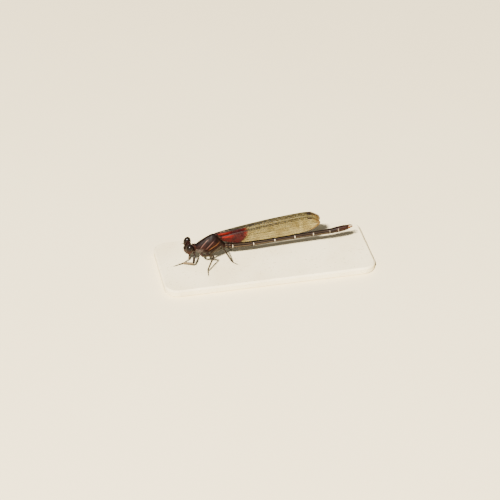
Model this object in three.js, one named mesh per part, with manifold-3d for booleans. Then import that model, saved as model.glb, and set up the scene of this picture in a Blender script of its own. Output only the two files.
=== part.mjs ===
// A male rubyspot damselfly at life size, standing over a plain base with its wings folded above its back.
// Millimetres, +Z up. The head points along -X, the tail along +X, and the insect's left side faces -Y.
// The numbers of the insect are measured from the middle of its thorax in x and y and from the plane of
// its feet in z. The whole is then moved so that the centre of the base's underside is the origin.
import * as THREE from "three";
import { mergeVertices } from "three/addons/utils/BufferGeometryUtils.js";
import Module from "manifold-3d";

const wasm = await Module();
wasm.setup();

// Sizes that drive the rest
const GAP = 0.3; // left between two neighbouring pieces
const BASE = { length: 54, width: 22, thickness: 2, corner: 3, chamfer: 0.4, centreX: 14 };
const EYE = { x: -5.4, y: 1.75, z: 5.37, radii: [0.95, 0.9, 1.4], tilt: 0.2 };
const HEAD = { x: -5.35, z: 5.2 };
const WING = { thickness: 0.5, ridge: 0.07, foreY: 0.42, hindY: 1.3 };

const { sin, cos, PI, max, min, abs } = Math;
const V = (x, y, z) => new THREE.Vector3(x, y, z);
const lerp = (a, b, t) => a + (b - a) * t;

// Value of a list of [position, value] pairs at a position, eased between its points
function profile(pairs, at) {
  const last = pairs.length - 1;
  if (at <= pairs[0][0]) return pairs[0][1];
  if (at >= pairs[last][0]) return pairs[last][1];
  const i = pairs.findIndex(([x]) => x > at) - 1;
  const slope = (j) => {
    const a = pairs[max(j - 1, 0)];
    const b = pairs[min(j + 1, last)];
    return (b[1] - a[1]) / (b[0] - a[0]);
  };
  const [x1, y1] = pairs[i];
  const [x2, y2] = pairs[i + 1];
  const h = x2 - x1;
  const t = (at - x1) / h;
  const before = y1 * (1 + 2 * t) + slope(i) * h * t;
  const after = y2 * (3 - 2 * t) - slope(i + 1) * h * (1 - t);
  return before * (1 - t) ** 2 + after * t ** 2;
}

// A closed solid from a mesh, and a mesh from the largest piece of a solid
function toSolid(geometry) {
  const bare = geometry.index ? geometry.toNonIndexed() : geometry.clone();
  bare.deleteAttribute("normal");
  bare.deleteAttribute("uv");
  const merged = mergeVertices(bare, 1e-4);
  const triVerts = new Uint32Array(merged.index.array);
  const vertProperties = merged.attributes.position.array;
  const solid = new wasm.Manifold(new wasm.Mesh({ numProp: 3, vertProperties, triVerts }));
  if (solid.volume() > 0) return solid;
  for (let i = 0; i < triVerts.length; i += 3)
    [triVerts[i + 1], triVerts[i + 2]] = [triVerts[i + 2], triVerts[i + 1]];
  return new wasm.Manifold(new wasm.Mesh({ numProp: 3, vertProperties, triVerts }));
}

function toGeometry(solid) {
  const [largest] = solid.decompose().sort((a, b) => b.volume() - a.volume());
  const mesh = largest.getMesh();
  const position = new Float32Array(mesh.numVert * 3);
  for (let i = 0; i < mesh.numVert; i++)
    position.set(mesh.vertProperties.subarray(i * mesh.numProp, i * mesh.numProp + 3), i * 3);
  const geometry = new THREE.BufferGeometry();
  geometry.setAttribute("position", new THREE.BufferAttribute(position, 3));
  geometry.setIndex(new THREE.BufferAttribute(mesh.triVerts, 1));
  geometry.computeVertexNormals();
  return geometry;
}

const join = (...solids) => solids.reduce((a, b) => a.add(b));

// A closed skin over rings that all have the same number of points, with a fan at both ends
function loft(rings) {
  const count = rings[0].length;
  const points = rings.flat();
  const faces = [];
  for (let r = 0; r + 1 < rings.length; r++)
    for (let i = 0; i < count; i++) {
      const a = r * count + i;
      const b = r * count + ((i + 1) % count);
      faces.push(a, b, b + count, a, b + count, a + count);
    }
  for (const start of [0, (rings.length - 1) * count]) {
    const middle = V(0, 0, 0);
    for (let i = 0; i < count; i++) middle.addScaledVector(points[start + i], 1 / count);
    points.push(middle);
    const centre = points.length - 1;
    for (let i = 0; i < count; i++) {
      const a = start + i;
      const b = start + ((i + 1) % count);
      faces.push(...(start === 0 ? [centre, b, a] : [centre, a, b]));
    }
  }
  const geometry = new THREE.BufferGeometry().setFromPoints(points);
  geometry.setIndex(faces);
  return toSolid(geometry);
}

function ellipsoid([x, y, z], [rx, ry, rz], tilt = 0, across = 16, down = 10) {
  const geometry = new THREE.SphereGeometry(1, across, down);
  geometry.scale(rx, ry, rz);
  geometry.rotateY(tilt);
  geometry.translate(x, y, z);
  return toSolid(geometry);
}

// A tapered rod along points. Its two ends can be mitred to a plane of a given normal.
function rod(points, radii, sides, startCut, endCut) {
  const last = points.length - 1;
  const along = (i) => points[min(i + 1, last)].clone().sub(points[max(i - 1, 0)]).normalize();
  const hint = abs(along(0).y) < 0.9 ? V(0, 1, 0) : V(0, 0, 1);
  let across = hint.cross(along(0)).normalize();
  const rings = points.map((point, i) => {
    const way = along(i);
    across = across.clone().addScaledVector(way, -across.dot(way)).normalize();
    const up = way.clone().cross(across);
    const cut = i === 0 ? startCut : i === last ? endCut : null;
    return Array.from({ length: sides }, (_, k) => {
      const angle = (2 * PI * k) / sides;
      const out = V(0, 0, 0).addScaledVector(across, cos(angle) * radii[i]);
      out.addScaledVector(up, sin(angle) * radii[i]);
      const slide = cut ? -out.dot(cut) / way.dot(cut) : 0;
      return point.clone().add(out).addScaledVector(way, slide);
    });
  });
  return loft(rings);
}

// Thorax: its roof, its belly and its half width, each against x
const ROOF = [[-3.6, 5.5], [-2.8, 6.15], [-1.4, 7.0], [0, 7.75], [0.8, 8.05], [1.6, 7.95], [2.5, 7.15], [3.3, 5.8],
  [3.9, 4.95]];
const BELLY = [[-3.6, 3.65], [-3, 3.05], [-2, 2.7], [-0.6, 2.55], [1, 2.55], [2.4, 2.85], [3.3, 3.25], [3.9, 3.6]];
const FLANK = [[-3.6, 0.75], [-2.9, 1.2], [-1.8, 1.48], [-0.4, 1.62], [0.9, 1.56], [2.2, 1.32], [3.2, 0.92],
  [3.9, 0.68]];

function thoraxSkin(grow, steps, sides) {
  const from = -3.6 - grow;
  const to = 3.9 + grow;
  const rings = Array.from({ length: steps + 1 }, (_, s) => {
    const x = lerp(from, to, s / steps);
    const roof = profile(ROOF, x) + grow;
    const belly = profile(BELLY, x) - grow;
    const half = profile(FLANK, x) + grow;
    const middle = lerp(belly, roof, 0.42);
    return Array.from({ length: sides }, (_, k) => {
      const angle = (2 * PI * k) / sides;
      const up = cos(angle);
      const rise = up > 0 ? roof - middle : middle - belly;
      const narrow = 1 - (up > 0 ? 0.24 : 0.1) * up * up;
      return V(x, half * sin(angle) * narrow, middle + rise * up);
    });
  });
  return loft(rings);
}

// The hind wings stand out from the narrow back of the thorax on two lumps
function hingeSolid(side, grow) {
  return ellipsoid([2.35, side * 0.85, 6.55], [0.75 + grow, 0.7 + grow, 0.5 + grow], -0.5, 14, 10);
}

// Head: a crown and cheeks between the two big side eyes, with the face and the mouth below
function eyeSolid(side, grow) {
  const radii = EYE.radii.map((r) => r + grow);
  return ellipsoid([EYE.x, side * EYE.y, EYE.z], radii, EYE.tilt, 18, 12);
}

function headPart([dx, y, dz], radii, tilt, across, down) {
  return ellipsoid([HEAD.x + dx, y, HEAD.z + dz], radii, tilt, across, down);
}

function headSolid() {
  const crown = headPart([0, 0, 0.3], [0.78, 1.7, 0.86], EYE.tilt, 20, 12);
  const rear = headPart([0.3, 0, -0.15], [0.48, 1.55, 1.0], EYE.tilt);
  const face = headPart([-0.4, 0, -0.15], [0.72, 0.98, 0.8], 0);
  const nose = headPart([-0.78, 0, -0.68], [0.56, 0.88, 0.42], 0.15);
  const ocelli = [[-0.42, 0, 0.98], [-0.2, -0.38, 1.08], [-0.2, 0.38, 1.08]].map((at) =>
    headPart(at, [0.17, 0.17, 0.17], 0, 8, 6),
  );
  const whole = join(crown, rear, face, nose, ...ocelli);
  return whole.subtract(eyeSolid(-1, GAP)).subtract(eyeSolid(1, GAP));
}

function headRoom() {
  return join(
    headPart([0, 0, 0.3], [0.78 + GAP, 1.7 + GAP, 0.86 + GAP], EYE.tilt, 20, 12),
    headPart([0.3, 0, -0.15], [0.48 + GAP, 1.55 + GAP, 1.0 + GAP], EYE.tilt),
    headPart([-0.4, 0, -0.15], [0.72 + GAP, 0.98 + GAP, 0.8 + GAP], 0),
    headPart([-0.78, 0, -0.68], [0.56 + GAP, 0.88 + GAP, 0.42 + GAP], 0.15),
    eyeSolid(-1, GAP),
    eyeSolid(1, GAP),
  );
}

function mouthSolid() {
  const upperLip = headPart([-0.72, 0, -1.32], [0.46, 0.76, 0.4], 0.3);
  const jaws = [-1, 1].map((side) => headPart([-0.28, side * 0.68, -1.42], [0.54, 0.4, 0.6], 0.2, 12, 8));
  const lowerLip = headPart([-0.1, 0, -1.75], [0.5, 0.7, 0.48], 0.3);
  return join(upperLip, ...jaws, lowerLip).subtract(headRoom());
}

function antennaSolid(side) {
  const start = V(HEAD.x - 1.2, side * 0.75, HEAD.z + 0.42);
  const shift = (t) => V(-0.75 * t, side * 0.7 * t, 0.15 * t - 0.75 * t * t);
  const points = [0, 0.3, 0.65, 1].map((t) => start.clone().add(shift(t)));
  return rod(points, [0.25, 0.22, 0.14, 0.08], 8).subtract(headRoom());
}

// The collar between head and thorax: x, radius and height of its rings
const COLLAR = [[-4.7, 0.4, 4.95], [-4.45, 0.45, 4.9], [-4.38, 0.85, 4.8], [-4.25, 0.98, 4.75], [-4.15, 0.86, 4.7],
  [-4.05, 0.95, 4.65], [-3.82, 0.9, 4.6], [-3.55, 0.8, 4.55]];

function collarSolid(thoraxRoom) {
  const rings = COLLAR.map(([x, radius, z]) =>
    Array.from({ length: 16 }, (_, k) => {
      const angle = (2 * PI * k) / 16;
      const tall = cos(angle) > 0 ? 0.95 : 1.15;
      return V(x, radius * sin(angle), z + radius * tall * cos(angle));
    }),
  );
  return loft(rings).subtract(headRoom()).subtract(thoraxRoom);
}

// Abdomen: ten segments along one gently rising line
const SPINE = [[3.9, 4.25], [4.8, 4.0], [5.7, 3.85], [8.5, 3.68], [11.1, 3.67], [16.6, 3.98], [21.8, 4.24],
  [26.6, 4.42], [30.9, 4.58], [33.1, 4.84], [34.9, 5.08], [36.0, 5.2]];
const RINGS = [4.05, 4.7, 5.7, 11.1, 16.6, 21.8, 26.6, 30.9, 33.1, 34.9, 36.0];
const GIRTH = [[4.0, 0.68], [5.2, 0.78], [6.4, 0.7], [11.1, 0.62], [16.6, 0.6], [24, 0.61], [30, 0.65],
  [32.8, 0.74], [34.6, 0.74], [36.0, 0.58]];
const FLARE = 0.05; // how much each segment swells at its rims

function segmentSolid(index) {
  const front = RINGS[index] + GAP / 2;
  const back = RINGS[index + 1] - (index === 9 ? 0 : GAP / 2);
  const steps = back - front > 3 ? 6 : 3;
  const rings = Array.from({ length: steps + 1 }, (_, s) => {
    const t = s / steps;
    const x = lerp(front, back, t);
    const rise = (profile(SPINE, x + 0.1) - profile(SPINE, x - 0.1)) / 0.2;
    const swell = FLARE * (max(0, t - 0.75) * 4 + 0.6 * max(0, 1 - t * 5));
    const radius = profile(GIRTH, x) + swell;
    return Array.from({ length: 12 }, (_, k) => {
      const angle = (2 * PI * k) / 12;
      const z = radius * cos(angle);
      return V(x - z * rise, radius * sin(angle) * 0.96, profile(SPINE, x) + z);
    });
  });
  return loft(rings);
}

function claspSolid(side) {
  const x = RINGS[10] + GAP;
  const points = [0, 0.3, 0.65, 1].map((t) => {
    const bow = 0.33 + 0.16 * sin(PI * t * 0.95);
    return V(x + 0.8 * t, side * bow, profile(SPINE, x) + 0.16 + 0.1 * t);
  });
  return rod(points, [0.25, 0.25, 0.21, 0.1], 8);
}

// Wings: upright plates. Each has its front edge on top and its rear edge below, as heights against x,
// and its main veins are ridges along lines of equal share between the two edges.
const FORE_TOP = [[1.5, 8.0], [5, 8.65], [10.3, 9.5], [17, 10.4], [23.5, 11.0], [25.6, 10.92], [27.3, 10.35],
  [28.3, 9.3]];
const FORE_LOW = [[1.5, 7.4], [2.6, 6.85], [4, 6.35], [7.5, 5.95], [12, 5.9], [17, 6.0], [21, 6.2], [24, 6.6],
  [26.6, 7.4], [27.8, 8.3], [28.3, 9.0]];
const HIND_TOP = [[2.7, 7.15], [6, 8.05], [10.3, 8.8], [17, 9.7], [23, 10.3], [25.5, 10.2], [27.3, 9.6], [28.2, 8.6]];
const HIND_LOW = [[2.7, 6.5], [3.6, 5.85], [5, 5.45], [8, 5.15], [12, 5.2], [17, 5.4], [21, 5.65], [24, 6.05],
  [26.5, 6.9], [27.7, 7.7], [28.2, 8.35]];
const VEINS = [0.14, 0.28, 0.48, 0.7];
const VEIN_HALF = 0.02;
const COLUMNS = [0, 0.03, 0.08, 0.16, 0.26, 0.38, 0.5, 0.62, 0.73, 0.82, 0.9, 0.95, 0.98, 1];

function wingSolid(top, low, y) {
  const from = top[0][0];
  const to = top[top.length - 1][0];
  const rows = [0, ...VEINS.flatMap((v) => [v - VEIN_HALF, v, v + VEIN_HALF]), 1];
  const points = [];
  for (const face of [1, -1])
    for (const c of COLUMNS) {
      const x = lerp(from, to, c);
      for (const v of rows) {
        const vein = v === 0 || VEINS.includes(v) ? WING.ridge * (1 - 0.5 * c) : 0;
        points.push(V(x, y + face * (WING.thickness / 2 + vein), lerp(profile(top, x), profile(low, x), v)));
      }
    }
  const across = rows.length;
  const sheet = COLUMNS.length * across;
  const faces = [];
  const quad = (a, b, c, d) => faces.push(a, b, c, a, c, d);
  for (let i = 0; i + 1 < COLUMNS.length; i++) {
    const a = i * across;
    const b = a + across - 1;
    for (let j = a; j < b; j++) {
      quad(j, j + across, j + across + 1, j + 1);
      quad(j + sheet, j + 1 + sheet, j + across + 1 + sheet, j + across + sheet);
    }
    quad(a, a + sheet, a + sheet + across, a + across);
    quad(b, b + across, b + sheet + across, b + sheet);
  }
  const end = sheet - across;
  for (let j = 0; j + 1 < across; j++) {
    quad(j, j + 1, j + 1 + sheet, j + sheet);
    quad(end + j, end + j + sheet, end + j + 1 + sheet, end + j + 1);
  }
  const geometry = new THREE.BufferGeometry().setFromPoints(points);
  geometry.setIndex(faces);
  return toSolid(geometry);
}

// Legs: the hip, then the four joints down to the toe
const LEGS = {
  leg_front_left: [[-4.05, -0.5, 3.75], [-4.06, -1.1, 3.2], [-4.5, -2.2, 1.25], [-7, -0.45, 0.75], [-9.1, -0.3, 0.22]],
  leg_front_right: [[-4.05, 0.5, 3.75], [-4.06, 1.1, 3.2], [-4.2, 3.2, 2.3], [-5.2, 1, 0.62], [-7.2, 0.2, 0.22]],
  leg_middle_left: [[-2.2, -0.95, 2.75], [-2.1, -1.75, 2.8], [0.4, -3.9, 4.05], [-1.4, -4.7, 0.62],
    [-1.5, -6.05, 0.22]],
  leg_middle_right: [[-2.2, 0.95, 2.75], [-2.1, 1.75, 2.8], [0.1, 3.8, 4.1], [-0.6, 5.3, 0.62], [-0.5, 6.7, 0.22]],
  leg_hind_left: [[-0.75, -1, 2.65], [-0.55, -1.8, 2.8], [2.6, -2.6, 5.9], [5.1, -2.75, 1.1], [6.5, -2.8, 0.22]],
  leg_hind_right: [[-0.75, 1, 2.65], [-0.55, 1.8, 2.8], [2.7, 2.8, 5.6], [4.9, 3.5, 1.1], [6.3, 3.9, 0.22]],
};
const LEG_PIECES = [
  { name: "coxa", radii: [0.4, 0.4, 0.38, 0.33] },
  { name: "femur", radii: [0.28, 0.33, 0.31, 0.27] },
  { name: "tibia", radii: [0.26, 0.25, 0.25, 0.25] },
  { name: "tarsus", radii: [0.25, 0.22, 0.17, 0.1] },
];

function legSolids(joints) {
  const points = joints.map((p) => V(...p));
  const way = (i) => points[i + 1].clone().sub(points[i]).normalize();
  return LEG_PIECES.map(({ radii }, i) => {
    const direction = way(i);
    const startCut = i > 0 ? way(i - 1).add(direction).normalize() : direction;
    const endCut = i < 3 ? way(i + 1).add(direction).normalize() : direction;
    const inset = (cut) => GAP / 2 / max(0.35, direction.dot(cut));
    const from = points[i].clone().addScaledVector(direction, i > 0 ? inset(startCut) : 0);
    const to = points[i + 1].clone().addScaledVector(direction, i < 3 ? -inset(endCut) : 0);
    const line = [0, 0.3, 0.7, 1].map((t) => from.clone().lerp(to, t));
    return rod(line, radii, 8, startCut, endCut);
  });
}

function baseSolid() {
  const { length, width, corner, thickness, chamfer, centreX } = BASE;
  const x = length / 2 - chamfer;
  const y = width / 2 - chamfer;
  const outline = new THREE.Shape();
  outline.moveTo(-x + corner, -y);
  outline.absarc(x - corner, -y + corner, corner, -PI / 2, 0, false);
  outline.absarc(x - corner, y - corner, corner, 0, PI / 2, false);
  outline.absarc(-x + corner, y - corner, corner, PI / 2, PI, false);
  outline.absarc(-x + corner, -y + corner, corner, PI, 1.5 * PI, false);
  const slab = new THREE.ExtrudeGeometry(outline, {
    depth: thickness - 2 * chamfer,
    bevelEnabled: true,
    bevelThickness: chamfer,
    bevelSize: chamfer,
    bevelSegments: 1,
    curveSegments: 6,
  });
  slab.translate(centreX, 0, -GAP - thickness + chamfer);
  return toSolid(slab);
}

// Finishes
const finish = (color, roughness, metalness = 0) => new THREE.MeshStandardMaterial({ color, roughness, metalness });
const BRONZE = finish(0x3a2622, 0.35, 0.2);
const DARK = finish(0x2a1e18, 0.45);
const EYE_BROWN = finish(0x3a1710, 0.15);
const AMBER = finish(0xb59a5c, 0.4);
const STONE = finish(0xdcd6c4, 0.8);

const damselfly = new THREE.Group();
damselfly.position.set(-BASE.centreX, 0, BASE.thickness + GAP);

function add(name, solid, material) {
  const mesh = new THREE.Mesh(toGeometry(solid), material);
  mesh.name = name;
  damselfly.add(mesh);
}

// Base, head and body
const thoraxRoom = thoraxSkin(GAP, 16, 20);
const collar = collarSolid(thoraxRoom);
add("stand_base", baseSolid(), STONE);
add("head", headSolid(), BRONZE);
add("mouth", mouthSolid(), BRONZE);
add("eye_left", eyeSolid(-1, 0), EYE_BROWN);
add("eye_right", eyeSolid(1, 0), EYE_BROWN);
add("antenna_left", antennaSolid(-1), DARK);
add("antenna_right", antennaSolid(1), DARK);
add("prothorax", collar, BRONZE);
add("thorax", join(thoraxSkin(0, 16, 20), hingeSolid(-1, 0), hingeSolid(1, 0)), BRONZE);
for (let i = 0; i < 10; i++) add("abdomen_" + String(i + 1).padStart(2, "0"), segmentSolid(i), DARK);
add("clasper_left", claspSolid(-1), DARK);
add("clasper_right", claspSolid(1), DARK);

// Wings
const wingRoom = join(thoraxRoom, hingeSolid(-1, GAP), hingeSolid(1, GAP));
const foreLeft = wingSolid(FORE_TOP, FORE_LOW, -WING.foreY);
const foreRight = wingSolid(FORE_TOP, FORE_LOW, WING.foreY);
const hindLeft = wingSolid(HIND_TOP, HIND_LOW, -WING.hindY);
const hindRight = wingSolid(HIND_TOP, HIND_LOW, WING.hindY);
add("wing_fore_left", foreLeft.subtract(wingRoom), AMBER);
add("wing_fore_right", foreRight.subtract(wingRoom), AMBER);
add("wing_hind_left", hindLeft.subtract(wingRoom), AMBER);
add("wing_hind_right", hindRight.subtract(wingRoom), AMBER);

// Legs, whose hips are cut to clear the body
const collarRoom = ellipsoid([-4.15, 0, 4.7], [0.65 + GAP, 0.98 + GAP, 1.12 + GAP]);
for (const [leg, joints] of Object.entries(LEGS))
  legSolids(joints).forEach((solid, i) => {
    const clear = i === 0 ? solid.subtract(thoraxRoom).subtract(collarRoom) : solid;
    add(leg + "_" + LEG_PIECES[i].name, clear, DARK);
  });

const part = new THREE.Group();
part.add(damselfly);
export default part;
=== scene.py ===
# %% [markdown]
# # A damselfly at rest
#
# This lesson builds a male rubyspot damselfly at life size, with its wings folded over its back. The real
# animal is 44 mm long. We model in millimetres, because Blender's tools work best on sizes near one, and
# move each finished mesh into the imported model's frame in metres. The move also brings the middle of the
# insect over the middle of the base, and lifts its feet onto the base's top.

import random
from math import cos, exp, hypot, pi, radians, sin, sqrt

import bmesh
import bpy
from mathutils import Matrix, Vector, noise


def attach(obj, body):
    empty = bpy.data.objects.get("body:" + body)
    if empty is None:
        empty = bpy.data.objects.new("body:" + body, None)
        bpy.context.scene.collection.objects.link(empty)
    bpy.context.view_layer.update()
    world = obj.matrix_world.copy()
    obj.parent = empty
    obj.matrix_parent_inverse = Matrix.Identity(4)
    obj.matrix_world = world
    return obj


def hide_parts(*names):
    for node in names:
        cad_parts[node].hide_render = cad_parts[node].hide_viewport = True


MM = 0.001
MIDDLE_X = 14.0
LIFT = 2.3

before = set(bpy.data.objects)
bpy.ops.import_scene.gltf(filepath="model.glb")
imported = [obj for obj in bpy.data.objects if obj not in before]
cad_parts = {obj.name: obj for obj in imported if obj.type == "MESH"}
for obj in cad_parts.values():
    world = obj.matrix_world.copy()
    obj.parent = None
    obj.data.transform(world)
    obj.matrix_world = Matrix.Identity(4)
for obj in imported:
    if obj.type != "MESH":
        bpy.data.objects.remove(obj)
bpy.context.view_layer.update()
TO_FRAME = Matrix.Scale(MM, 4) @ Matrix.Translation((-MIDDLE_X, 0.0, LIFT))


# %% [markdown]
# The camera stands a little in front of the insect's left side and looks down at 35 degrees, as the
# picture was taken. A long lens keeps the slender body from spreading, so near and far legs have the same
# size. The camera comes first, because every later choice is judged through it.

# %% Camera
AZIMUTH = radians(-12)
ELEVATION = radians(35)
LENS = 135.0
SENSOR = 36.0
VIEW_WIDTH = 126.5
AIM = TO_FRAME @ Vector((10.4, 0.0, 1.73))

camera = bpy.data.objects.new("camera", bpy.data.cameras.new("camera"))
bpy.context.scene.collection.objects.link(camera)
camera.data.lens = LENS
camera.data.sensor_width = SENSOR
away = Vector((sin(AZIMUTH) * cos(ELEVATION), -cos(AZIMUTH) * cos(ELEVATION), sin(ELEVATION)))
camera.location = AIM + away * (VIEW_WIDTH * MM * LENS / SENSOR)
camera.rotation_mode = "QUATERNION"
camera.rotation_quaternion = (-away).to_track_quat("-Z", "Y")
camera.data.clip_start = 0.01
camera.data.clip_end = 20
bpy.context.scene.camera = camera
print("camera distance, mm:", round((camera.location - AIM).length / MM))

# %% [markdown]
# A small bright light stands in for the sun. It is a little higher than the camera and to its left, so the
# near side is fully lit and each shadow falls behind the body and a little to the right. A wide soft light
# from the other side and a pale world keep the shadows open.


# %% Lights
def area_light(name, at, size, power, tint):
    lamp = bpy.data.lights.new(name, "AREA")
    lamp.size = size
    lamp.energy = power
    lamp.color = tint
    holder = bpy.data.objects.new(name, lamp)
    holder.location = at
    holder.rotation_mode = "QUATERNION"
    holder.rotation_quaternion = (-Vector(at)).to_track_quat("-Z", "Y")
    bpy.context.scene.collection.objects.link(holder)


area_light("high_light", at=(-0.43, -0.83, 0.9), size=0.08, power=92.0, tint=(1.0, 0.94, 0.84))
area_light("far_fill", at=(0.3, 0.7, 0.7), size=0.8, power=1.2, tint=(1.0, 0.98, 0.95))
world = bpy.data.worlds.new("pale_room")
world.use_nodes = True
room_light = world.node_tree.nodes["Background"]
room_light.inputs["Color"].default_value = (1.0, 0.97, 0.92, 1)
room_light.inputs["Strength"].default_value = 0.15
bpy.context.scene.world = world

# %% [markdown]
# ## Finishes
#
# A finish is a small tree of shader nodes. A few helpers keep the trees short: one adds a node and feeds
# its sockets, one mixes two colours, and one reads a mask. A mask is a value from 0 to 1 that a mesh
# carries for each of its points, so a coloured mark can sit exactly where we want it. The mix node has
# sockets of one name for numbers, vectors and colours, so we reach its colour sockets by their places.

# %% Node helpers
MIX_SHARE, MIX_FIRST, MIX_SECOND, MIX_RESULT = 0, 6, 7, 2


def feed(tree, socket, value):
    if isinstance(value, bpy.types.NodeSocket):
        tree.links.new(value, socket)
    else:
        socket.default_value = value


def add_node(tree, kind, settings=None, **inputs):
    made = tree.nodes.new(kind)
    for key, value in (settings or {}).items():
        setattr(made, key, value)
    for key, value in inputs.items():
        feed(tree, made.inputs[key.replace("_", " ")], value)
    return made


def start_material(name):
    material = bpy.data.materials.new(name)
    material.use_nodes = True
    tree = material.node_tree
    return material, tree, tree.nodes["Principled BSDF"]


def rgba(colour):
    return (*colour, 1.0)


def mix_colour(tree, share, first, second):
    mixer = add_node(tree, "ShaderNodeMix", {"data_type": "RGBA"})
    feed(tree, mixer.inputs[MIX_SHARE], share)
    feed(tree, mixer.inputs[MIX_FIRST], first)
    feed(tree, mixer.inputs[MIX_SECOND], second)
    return mixer.outputs[MIX_RESULT]


def mask(tree, name):
    return add_node(tree, "ShaderNodeAttribute", {"attribute_name": name}).outputs["Fac"]


def lay_marks(tree, colour, marks):
    for mark, tint in marks:
        colour = mix_colour(tree, mask(tree, mark), colour, rgba(tint))
    return colour


print("mixing and masks ready")

# %% [markdown]
# Nothing on an insect has one flat colour. A noise in cells of a given size drifts between two tones, and a
# finer noise raises the surface a hundredth of a millimetre or so. Both read the object's own coordinates,
# which are metres here, so a cell size in millimetres becomes a scale of so many cells to the metre.

# %% Noise helpers
CELLS_PER_METRE = 1000.0
CLOUD_LOW, CLOUD_HIGH = 0.35, 0.65


def grain(tree, size_mm, detail=4.0):
    place = add_node(tree, "ShaderNodeTexCoord").outputs["Object"]
    scale = CELLS_PER_METRE / size_mm
    return add_node(tree, "ShaderNodeTexNoise", Vector=place, Scale=scale, Detail=detail).outputs["Fac"]


def stretch(tree, value, low, high, new_low, new_high):
    keys = {"From_Min": low, "From_Max": high, "To_Min": new_low, "To_Max": new_high}
    return add_node(tree, "ShaderNodeMapRange", Value=value, **keys).outputs["Result"]


def two_tone(tree, size_mm, deep, light):
    clouds = stretch(tree, grain(tree, size_mm), CLOUD_LOW, CLOUD_HIGH, 0.0, 1.0)
    return mix_colour(tree, clouds, rgba(deep), rgba(light))


def raise_grain(tree, surface, size_mm, height_mm, strength, detail=4.0):
    height = grain(tree, size_mm, detail)
    bump = add_node(tree, "ShaderNodeBump", Height=height, Strength=strength, Distance=height_mm * MM)
    tree.links.new(bump.outputs["Normal"], surface.inputs["Normal"])


print("noise helpers ready")

# %% [markdown]
# Insect shell is hard, dark and only a little glossy. One helper makes them all: two tones, the marks laid
# over them, a roughness that wears unevenly, and a fine raised grain.

# %% Shell finish
FINE_GRAIN = 0.07
GRAIN_HEIGHT = 0.01
POLISH, WEAR = 0.08, 0.12


def shell(name, deep, light, roughness, patch_mm, relief, gloss, marks=(), metallic=0.0):
    material, tree, surface = start_material(name)
    colour = lay_marks(tree, two_tone(tree, patch_mm, deep, light), marks)
    tree.links.new(colour, surface.inputs["Base Color"])
    uneven = stretch(tree, grain(tree, patch_mm / 3), 0.3, 0.7, roughness - POLISH, roughness + WEAR)
    tree.links.new(uneven, surface.inputs["Roughness"])
    raise_grain(tree, surface, FINE_GRAIN, GRAIN_HEIGHT, relief, detail=6.0)
    surface.inputs["Metallic"].default_value = metallic
    surface.inputs["Specular IOR Level"].default_value = gloss
    return material


BRONZE = shell(
    "bronze_shell",
    deep=(0.0045, 0.0014, 0.0011),
    light=(0.0165, 0.0047, 0.0034),
    roughness=0.5,
    patch_mm=0.9,
    relief=0.4,
    gloss=0.08,
    marks=[
        ("dust", (0.085, 0.066, 0.054)),
        ("groove", (0.0015, 0.0007, 0.0005)),
        ("pale", (0.16, 0.075, 0.056)),
        ("orange", (0.15, 0.06, 0.019)),
    ],
    metallic=0.05,
)
TAIL = shell(
    "tail_shell",
    deep=(0.0038, 0.0018, 0.0012),
    light=(0.0105, 0.005, 0.0032),
    roughness=0.42,
    patch_mm=0.7,
    relief=0.4,
    gloss=0.1,
    marks=[
        ("rust", (0.018, 0.0048, 0.0026)),
        ("line", (0.1, 0.068, 0.038)),
        ("top", (0.002, 0.0012, 0.0009)),
        ("band", (0.7, 0.6, 0.42)),
    ],
)
LEG = shell(
    "leg_shell",
    deep=(0.003, 0.0018, 0.0012),
    light=(0.009, 0.0052, 0.0032),
    roughness=0.4,
    patch_mm=0.4,
    relief=0.3,
    gloss=0.12,
    marks=[("pale", (0.25, 0.175, 0.095))],
)
CLASP = shell(
    "clasper_shell",
    deep=(0.06, 0.016, 0.002),
    light=(0.13, 0.042, 0.006),
    roughness=0.45,
    patch_mm=0.5,
    relief=0.3,
    gloss=0.12,
)
BRISTLE = shell(
    "bristle_black",
    deep=(0.012, 0.009, 0.008),
    light=(0.04, 0.028, 0.022),
    roughness=0.4,
    patch_mm=0.3,
    relief=0.1,
    gloss=0.35,
)
print("shell finishes:", [m.name for m in (BRONZE, TAIL, LEG, CLASP, BRISTLE)])

# %% [markdown]
# The big eyes are made of thousands of tiny lenses. A Voronoi pattern gives them their fine pebbled relief,
# a mask makes the upper half darker than the red-brown lower half, and a thin clear coat gives the wet
# highlight.

# %% Eye finish
FACET = 0.045
FACET_HEIGHT = 0.004

EYE, eye_tree, eye_surface = start_material("eye_lenses")
eye_colour = two_tone(eye_tree, size_mm=0.5, deep=(0.012, 0.0018, 0.0008), light=(0.028, 0.0048, 0.0018))
eye_colour = lay_marks(eye_tree, eye_colour, [("upper", (0.0035, 0.0016, 0.001))])
eye_tree.links.new(eye_colour, eye_surface.inputs["Base Color"])
facet_place = add_node(eye_tree, "ShaderNodeTexCoord").outputs["Object"]
facets = add_node(eye_tree, "ShaderNodeTexVoronoi", Vector=facet_place, Scale=CELLS_PER_METRE / FACET)
facet_bump = add_node(
    eye_tree,
    "ShaderNodeBump",
    {"invert": True},
    Height=facets.outputs["Distance"],
    Strength=0.05,
    Distance=FACET_HEIGHT * MM,
)
eye_tree.links.new(facet_bump.outputs["Normal"], eye_surface.inputs["Normal"])
eye_surface.inputs["Roughness"].default_value = 0.6
eye_surface.inputs["Specular IOR Level"].default_value = 0.05
eye_surface.inputs["Coat Weight"].default_value = 0.28
eye_surface.inputs["Coat Roughness"].default_value = 0.22
print("eye finish:", EYE.name)

# %% [markdown]
# A wing is a clear amber film between dark veins. The film lets most of the light through, so its colour
# is weak where it is single and stronger where several wings overlap. Its base is deep red and nearly
# opaque, which is the mark that gives this damselfly its name. The cover mask says how opaque it is.


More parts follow.
